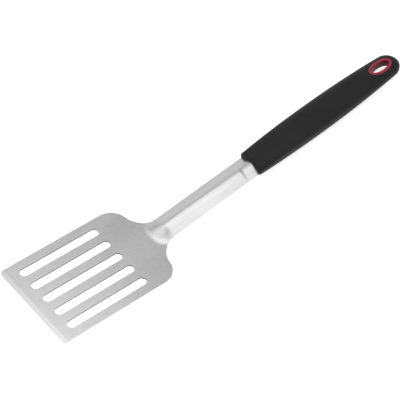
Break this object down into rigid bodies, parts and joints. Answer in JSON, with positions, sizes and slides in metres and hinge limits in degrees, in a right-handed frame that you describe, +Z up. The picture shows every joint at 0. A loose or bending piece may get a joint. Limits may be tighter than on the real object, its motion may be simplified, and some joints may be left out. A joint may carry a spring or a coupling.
{
  "type": "grill spatula",
  "caption": "Grill spatula: flat slotted stainless blade, arched and bent-up shank, black soft-grip handle and a red oval hanging eyelet at the butt.",
  "frame": {"origin": "on the table, under the middle of the overall length, on the plane of symmetry; the spatula lies as it rests on a table, on the heel of its neck and the belly of its grip", "axes": "+X towards the butt of the handle, +Y across the blade, +Z up from the table with the arched side of the shank on top"},
  "size_m": [0.3858, 0.082, 0.0205],
  "materials": {
    "steel": "satin stainless steel, finely polished along its length, brighter on the ground front edge",
    "pin": "plain drawn steel",
    "core": "glass-filled nylon, matte",
    "grip": "soft-touch rubber, fine matte texture",
    "eyelet": "moulded red plastic, satin gloss"
  },
  "bodies": {
    "root": {"blade_and_shank": "steel", "tang_pins": "pin", "core_lower": "core", "core_upper": "core", "soft_grip": "grip", "hang_ring": "eyelet"}
  },
  "joints": []
}
